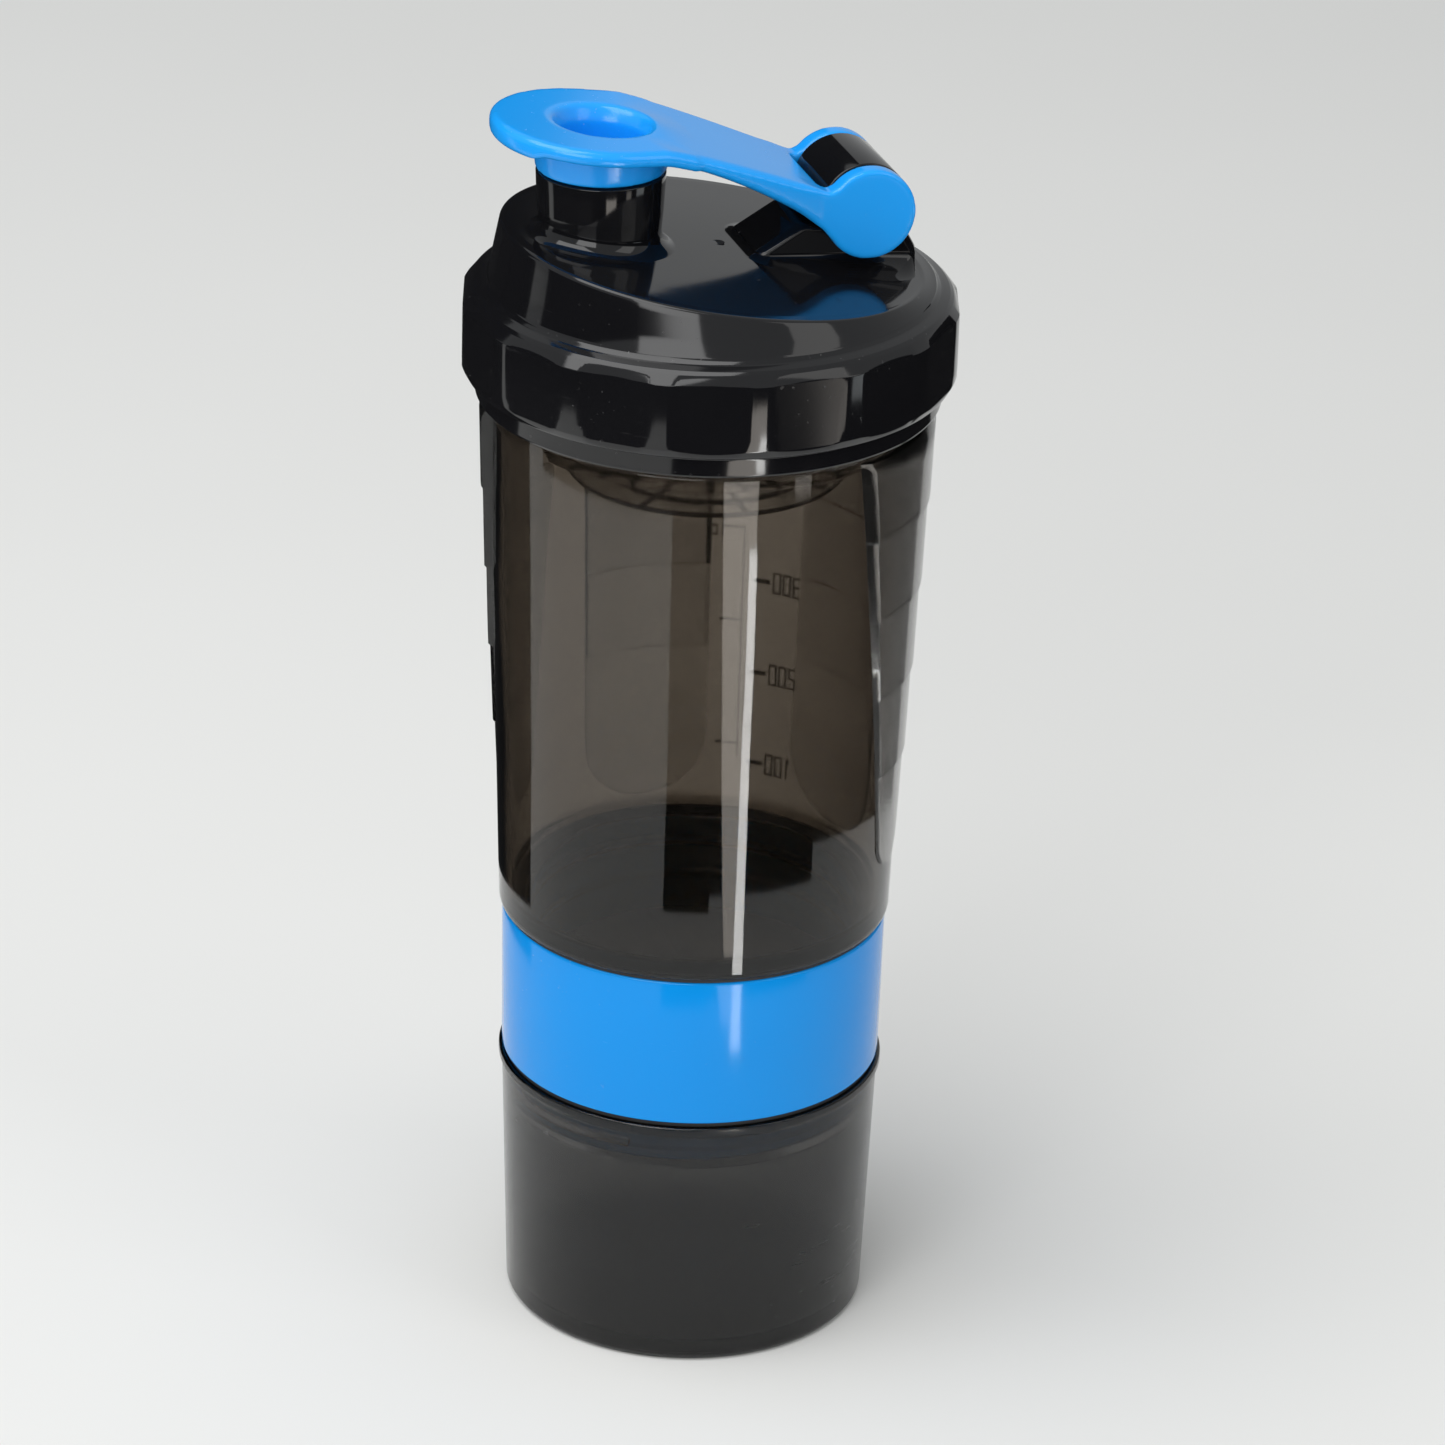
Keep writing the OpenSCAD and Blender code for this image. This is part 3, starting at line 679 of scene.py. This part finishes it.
def build_spout():
    """The drinking spout: its foot follows the dome, and its rim is level."""
    bm = bmesh.new()
    level = 226
    rim = SPOUT_TOP - level
    foot = 3.6
    base_r = 12.1
    bore_r = 11.0
    outline = []
    for k in range(13):
        a = math.radians(7.5 * (12 - k))
        outline.append(Vector((base_r + foot * (1 - math.cos(a)), foot * (1 - math.sin(a)))))
    upper = eased([(base_r, foot), (12.45, 15, 2), (12.8, rim - 0.2, 0.5), (12.3, rim - 0.05, 0.3),
                   (11.6, rim - 0.05, 0.3), (bore_r, rim - 0.9, 0.4), (bore_r, -4)], 6, closed=False)
    outline = outline + filled(upper[1:], 2.5) + [Vector((15.0, -4))]
    made = turned(bm, outline, True, 144, (SPOUT_X, 0, 0))
    for v in made:
        ground = dome_top(v.co.x, v.co.y) - 0.12
        r = math.hypot(v.co.x - SPOUT_X, v.co.y)
        if r > 11.6 and v.co.z <= 10:
            share = smooth((v.co.z - foot) / 6)
            v.co.z = mix(ground + v.co.z, level + v.co.z, share)
        else:
            v.co.z = level + v.co.z
    finish_piece("lid_spout", bm, "lid", black, "lid", 50)


def build_post():
    """Hinge post: concave sides that run out over the dome, a ramp at its front and a steep back."""
    bm = bmesh.new()
    count = 144

    def outline(front, back, half, corner):
        """Points round a rectangle with rounded corners."""
        points = []
        per = count // 4
        for q, (cx, cy) in enumerate(((back - corner, half - corner), (front + corner, half - corner),
                                      (front + corner, corner - half), (back - corner, corner - half))):
            for k in range(per):
                a = math.radians(90 * (q + k / (per - 1)))
                points.append(Vector((cx + corner * math.cos(a), cy + corner * math.sin(a), 0)))
        return points

    # each level: how far the foot spreads, how far it is lifted, and its share of the way to the top
    spread_r, lift_r = 9.0, 4.2
    dome_edge = 40.2
    levels = []
    for k in range(13):
        a = math.radians(90 - 7.5 * k)
        levels.append((spread_r * (1 - math.cos(a)), lift_r * (1 - math.sin(a)), 0.0))
    levels += [(0, mix(lift_r, 2.6, t / 12), t / 12) for t in range(1, 13)]
    levels += [(-0.25, 2.9, 1.0), (-0.7, 3.1, 1.0), (-1.4, 3.15, 1.0)]
    ring = bmesh.ops.create_circle(bm, segments=count, radius=1)["verts"]
    edges = list({e for v in ring for e in v.link_edges})
    bottom = list(ring)
    first = True
    for spread, lift, share in levels:
        if not first:
            grown = bmesh.ops.extrude_edge_only(bm, edges=edges)["geom"]
            edges = [g for g in grown if isinstance(g, bmesh.types.BMEdge)]
            ring = sorted({v for e in edges for v in e.verts}, key=lambda v: order[round_key(v)])
        front = mix(6.6, 14.5, share) - spread * (0.4 if spread > 0 else 1)
        back = mix(dome_edge, 37.0, share)
        half = BARREL_HALF - 0.3 + spread
        points = outline(front, back, half, 2.4 + max(0.0, spread))
        if first:
            ring = sorted(ring, key=lambda v: math.atan2(v.co.y, v.co.x) % (2 * math.pi))
        for v, p in zip(ring, points):
            low = dome_top(p.x, p.y) - 0.15
            high = mix(HINGE.z - 2.9, HINGE.z - 4.4, smooth((p.x - 12) / 22)) - 3.1
            reach = min(1.0, dome_edge / math.hypot(p.x, p.y))
            rise = lift * mix(0.3, 1, max(share, smooth((p.x - 9) / 13)))
            v.co = Vector((p.x * reach, p.y * reach, mix(low, high, share) + rise))
        order = {round_key(v): i for i, v in enumerate(ring)}
        bm.verts.index_update()
        first = False
    top = ring
    for loop in (bottom, top):
        bmesh.ops.contextual_create(bm, geom=list({e for v in loop for e in v.link_edges
                                                   if e.is_boundary or len(e.link_faces) < 2}))
    finish_piece("lid_post", bm, "lid", black, "lid", 40)


def round_key(v):
    """A vertex's place as a key that can be looked up."""
    return (round(v.co.x, 5), round(v.co.y, 5), round(v.co.z, 5))


def build_barrel():
    """The hinge's barrel between the two ears."""
    bm = bmesh.new()
    half = BARREL_HALF
    turned(bm, eased([(0, -half), (EAR_R, -half, 0.35), (EAR_R, half, 0.35), (0, half)], 4,
                     closed=False), False, 128, (HINGE.x, 0, HINGE.z), "Y")
    finish_piece("lid_barrel", bm, "lid", black, "lid", 40)


def build_vent():
    """A small vent button on the dome."""
    bm = bmesh.new()
    turned(bm, eased([(0, 0.02), (1.05, 0.03, 0.1), (1.25, 0.1, 0.1), (1.45, 0.0), (1.2, -0.4),
                      (0, -0.4)], 3, closed=False), False, 32, (1, 0, dome_top(1, 0)))
    finish_piece("lid_vent", bm, "lid", gasket, "lid")


# ---------------------------------------------------------------- flip cap

def plate_top(x):
    return PLATE_Z - PLATE_FALL * (x - SPOUT_X)


def on_ear(angle):
    """A point of the ears' round edge, by its angle above the side that faces the spout."""
    a = math.radians(angle)
    return Vector((HINGE.x - EAR_R * math.cos(a), HINGE.z + EAR_R * math.sin(a)))


BEND_X = SPOUT_X + 8
NARROW = math.asin((HEAD_R - EAR_OUT) / (HINGE.x - EAR_R - HEAD_X))
PLATE_T = 3.3
ARM_END = on_ear(32)
ARM_LOW = on_ear(-15)


def arm_top(x):
    if x < BEND_X:
        return plate_top(x)
    start = plate_top(BEND_X)
    return start + (ARM_END.y - start) * ((x - BEND_X) / (ARM_END.x - BEND_X)) ** 1.12


def arm_low(x):
    start = plate_top(BEND_X) - PLATE_T
    if x < BEND_X:
        return plate_top(x) - PLATE_T
    return start + (ARM_LOW.y - start) * ((x - BEND_X) / (ARM_LOW.x - BEND_X)) ** 1.35


def build_cap():
    """Flip cap: a turned head with its hollow plug, an arm and two ears, grown together into one skin."""
    bm = bmesh.new()
    collar = SPOUT_TOP + 0.25 - PLATE_Z
    plug = collar - 6
    head = turned(bm, eased([
        (0, plug), (9.2, plug, 0.5), (10.7, collar, 0.1), (12.9, collar, 0.3), (13.7, -3.2, 0.8),
        (HEAD_R - 0.9, -PLATE_T, 0.7), (HEAD_R, -2.4, 0.8), (HEAD_R, -1, 0.8), (HEAD_R - 0.9, 0, 0.8),
        (9.9, 0, 1.5), (8.3, -2.8, 2), (7.6, plug + 1.6, 0.8), (0, plug + 1.6)], 6, closed=False),
        False, 160, (SPOUT_X, 0, PLATE_Z))
    for v in head:
        r = math.hypot(v.co.x - SPOUT_X, v.co.y)
        level = v.co.z - PLATE_Z
        share = smooth((level + 7) / 3.5)
        outward = smooth((r - 13.9) / 5.5)
        v.co.x += (HEAD_X - SPOUT_X) * outward
        angle = math.atan2(abs(v.co.y), v.co.x - HEAD_X)
        if r > 13.9 and angle < math.pi / 2 - NARROW:
            # the head's sides leave the circle and run straight towards the ears
            tangent = 1 / math.cos(math.pi / 2 - NARROW - angle)
            grown = min(tangent, 0.84 / max(0.01, math.cos(angle)))
            grown = mix(1, max(grown, 1), outward)
            v.co.x = HEAD_X + (v.co.x - HEAD_X) * grown
            v.co.y *= grown
        v.co.z -= PLATE_FALL * (v.co.x - SPOUT_X) * share
        v.co.z += (arm_top(v.co.x) - plate_top(v.co.x)) * outward
        if r > 15 and level < -1.5:
            v.co.z -= 1.1 * smooth((HEAD_X - HEAD_R + 7 - v.co.x) / 2.5)

    start = SPOUT_X + 13.2
    end = HINGE.x - EAR_R - 0.75

    def arm_corner(u, v, side):
        x = mix(start, end, (u + 1) / 2)
        half = EAR_OUT - 0.15 + max(0.0, HINGE.x - EAR_R - x) * math.tan(NARROW)
        ease = 0.8 * max(0.0, (abs(v) * half - half + 0.8) / 0.8) ** 2
        z = arm_top(x) - ease if side else arm_low(x) + ease
        return Vector((x, v * half, z))

    slab(bm, 60, 24, arm_corner)
    for side in (-1, 1):
        middle = side * (EAR_OUT + EAR_IN) / 2
        turned(bm, eased([(0, -EAR_HALF), (EAR_R, -EAR_HALF, 0.5), (EAR_R, EAR_HALF, 0.5), (0, EAR_HALF)],
                         4, closed=False), False, 128, (HINGE.x, middle, HINGE.z), "Y")
        # the gusset that carries the ear, from under the arm, round the hinge and back to the arm's top
        gusset = [(9, arm_low(9) + 0.3), (14.5, arm_low(14.5) - 0.1),
                  (18.6, HINGE.z - 2.5), (20.6, HINGE.z - 5.0), (22.5, HINGE.z - 6.4), (28, HINGE.z),
                  (22.2, HINGE.z + 6.2), (19.6, HINGE.z + 5.2),
                  (14.5, arm_top(14.5) + 0.05), (9, arm_top(9) - 0.3)]
        face = bm.faces.new([bm.verts.new((x, middle - EAR_HALF, z)) for x, z in gusset])
        grown = bmesh.ops.extrude_face_region(bm, geom=[face], use_keep_orig=True)["geom"]
        bmesh.ops.translate(bm, vec=(0, 2 * EAR_HALF, 0),
                            verts=[g for g in grown if isinstance(g, bmesh.types.BMVert)])
    bmesh.ops.recalc_face_normals(bm, faces=bm.faces)
    rough = bpy.data.meshes.new("cap_rough")
    bm.to_mesh(rough)
    bm.free()
    # one skin over all of it, then its corners are eased
    holder = bpy.data.objects.new("cap_rough", rough)
    bpy.context.scene.collection.objects.link(holder)
    skin = holder.modifiers.new("skin", "REMESH")
    skin.mode = "VOXEL"
    skin.voxel_size = 0.42
    ease = holder.modifiers.new("ease", "SMOOTH")
    ease.factor = 0.5
    ease.iterations = 12
    bpy.context.view_layer.update()
    view = bpy.context.evaluated_depsgraph_get()
    done = bpy.data.meshes.new_from_object(holder.evaluated_get(view))
    bpy.data.objects.remove(holder)
    bm = bmesh.new()
    bm.from_mesh(done)
    finish_piece("cap_body", bm, "cap", azure_cap, "flip_cap", 180)


# ---------------------------------------------------------------- room, light and camera

ROOM = Matrix.Rotation(math.radians(-17.7), 4, "Z")


def build_room():
    """A wide pale floor, which fills the picture behind the bottle as well."""
    bm = bmesh.new()
    bmesh.ops.create_grid(bm, x_segments=8, y_segments=8, size=3.2, matrix=ROOM)
    mesh = bpy.data.meshes.new("room_floor")
    bm.to_mesh(mesh)
    bm.free()
    mesh.materials.append(paper("room_paper", (0.80, 0.80, 0.785, 1), (0.83, 0.83, 0.815, 1)))
    floor = bpy.data.objects.new("room_floor", mesh)
    bpy.context.scene.collection.objects.link(floor)


def lamp(name, place, target, size, power, colour):
    """A soft rectangular light that the camera doesn't see."""
    light = bpy.data.lights.new(name, "AREA")
    light.shape = "RECTANGLE"
    light.size, light.size_y = size
    light.energy = power
    light.color = colour
    holder = bpy.data.objects.new(name, light)
    bpy.context.scene.collection.objects.link(holder)
    place = ROOM @ Vector(place)
    facing = (ROOM @ Vector(target) - place).to_track_quat("-Z", "Y").to_matrix().to_4x4()
    holder.matrix_world = Matrix.Translation(place) @ facing
    holder.visible_camera = False


def glow_paper(name, colour, strength):
    """Paper that shines a little, for the bright streaks."""
    look = Look(name)
    grain = look.noise(12, 2)
    dimmer = tuple(c * 0.85 for c in colour[:3]) + (1,)
    return look.surface({"Base Color": look.blend(grain, (0.2, 0.2, 0.2, 1), (0.25, 0.25, 0.25, 1)),
                         "Emission Color": look.blend(grain, colour, dimmer),
                         "Emission Strength": strength, "Roughness": grain * 0.1 + 0.6})


def mirrored_card(name, points, material):
    """A flat card that is seen in reflections only; its corners are given in the room."""
    bm = bmesh.new()
    bm.faces.new([bm.verts.new(ROOM @ Vector(p)) for p in points])
    mesh = bpy.data.meshes.new(name)
    bm.to_mesh(mesh)
    bm.free()
    mesh.materials.append(material)
    card = bpy.data.objects.new(name, mesh)
    bpy.context.scene.collection.objects.link(card)
    card.visible_camera = False
    card.visible_diffuse = False
    card.visible_transmission = False
    card.visible_shadow = False
    card.visible_volume_scatter = False


def at(azimuth, reach, height):
    """A point in the room: azimuth from the camera's side towards the right."""
    a = math.radians(azimuth)
    return (reach * math.sin(a), -reach * math.cos(a), height)


def floor_ring(r_in, r_out, start, end, height=0.002):
    """Corners of a flat sector of the floor between two azimuths."""
    steps = [start + (end - start) * k / 12 for k in range(13)]
    return [at(a, r_out, height) for a in steps] + [at(a, r_in, height) for a in reversed(steps)]


def shade_wall(name, corners, low, high, material):
    """A row of upright cards that stand on a line of floor points, from one height to another."""
    for k, (a, b) in enumerate(zip(corners, corners[1:])):
        mirrored_card(f"{name}_{k}", [(a[0], a[1], low), (b[0], b[1], low), (b[0], b[1], high),
                                      (a[0], a[1], high)], material)


def build_lights():
    """A pale world, three soft lamps, and the dark and bright cards that the glossy plastics mirror."""
    world = bpy.data.worlds.new("soft_room")
    world.use_nodes = True
    background = world.node_tree.nodes["Background"]
    background.inputs["Color"].default_value = (0.93, 0.95, 0.96, 1)
    background.inputs["Strength"].default_value = 0.5
    bpy.context.scene.world = world
    lamp("ceiling_soft", (-0.6, -0.35, 1.6), (-0.2, 0.1, 0), (1.3, 1.3), 16, (1, 1, 1))
    lamp("window_soft", (1.5, -0.9, 1.1), (0, 0, 0.1), (0.9, 1.2), 4, (1, 0.98, 0.95))
    lamp("front_soft", (-0.45, -1.35, 0.8), (0, 0, 0.12), (0.9, 0.9), 7.5, (1, 1, 1))
    dark = paper("shade_cloth", (0.012, 0.012, 0.013, 1), (0.02, 0.02, 0.021, 1))
    far, wall_top = 2.2, 0.5
    # sectors of the floor: first and last azimuth, and where the sector starts
    sectors = ((-92, -16, 0.5), (-16, 8, 0.22), (8, 66, 0.23), (66, 140, 0.25), (-179, -103, 0.2))
    for number, (start, end, near) in enumerate(sectors):
        mirrored_card(f"floor_shade_{number}", floor_ring(near, far, start, end), dark)
        edge = [at(start + (end - start) * k / 4, far, 0) for k in range(5)]
        shade_wall(f"wall_shade_{number}", edge, 0, wall_top, dark)
    shade_wall("side_shade", [at(-178 + 18 * k, 0.38, 0) for k in range(5)], 0.06, wall_top, dark)
    # a broad dim streak with a thin bright edge on the tumbler, and short ones on the band and the dome
    warm = (1, 0.93, 0.85, 1)
    cool = (0.9, 0.97, 1, 1)
    low, upper = 0.005, 0.007
    mirrored_card("streak_soft", [at(17, 0.19, low), at(9, 0.56, low), at(27, 0.56, low), at(25, 0.19, low)],
                  glow_paper("glow_soft", warm, 3.4))
    mirrored_card("streak_edge", [at(21.5, 0.16, upper), at(23.5, 0.46, upper), at(27.5, 0.46, upper),
                                  at(27, 0.16, upper)], glow_paper("glow_edge", (1, 1, 0.98, 1), 12))
    for name, ring, glow, colour, strength in (
            ("streak_band", (0.5, 0.64, 46, 55), "glow_band", warm, 1.6),
            ("streak_dome", (0.54, 1.5, 66, 82), "glow_dome", cool, 1.5),
            ("streak_dome_soft", (0.9, 1.7, 34, 52), "glow_dim", warm, 0.45)):
        mirrored_card(name, floor_ring(*ring, low), glow_paper(glow, colour, strength))


def build_camera():
    """The camera, a long lens that looks down at the bottle."""
    scale = 1.02
    distance, height = 1.25277 * scale, 0.69531 * scale
    yaw, pitch, roll = (math.radians(a) for a in (0.2166, 24.475, 1.743))
    forward = Vector((math.sin(yaw) * math.cos(pitch), math.cos(yaw) * math.cos(pitch), -math.sin(pitch)))
    right = Vector((math.cos(yaw), -math.sin(yaw), 0))
    up = right.cross(forward)
    right = right * math.cos(roll) + up * math.sin(roll)
    up = right.cross(forward)
    turn = Matrix((right, up, -forward)).transposed().to_4x4()
    data = bpy.data.cameras.new("camera")
    data.sensor_width = 36
    data.lens = 4.78865 * data.sensor_width
    data.clip_start = 0.05
    camera = bpy.data.objects.new("camera", data)
    bpy.context.scene.collection.objects.link(camera)
    camera.matrix_world = ROOM @ Matrix.Translation((0, -distance, height)) @ turn
    bpy.context.scene.camera = camera


build_jar()
build_gaskets()
build_box()
build_tray()
build_tumbler()
build_grips()
build_scale()
build_grid()
build_band()
build_dome()
build_spout()
build_post()
build_barrel()
build_vent()
build_cap()
build_room()
build_lights()
build_camera()
bpy.context.scene.view_settings.view_transform = "Standard"
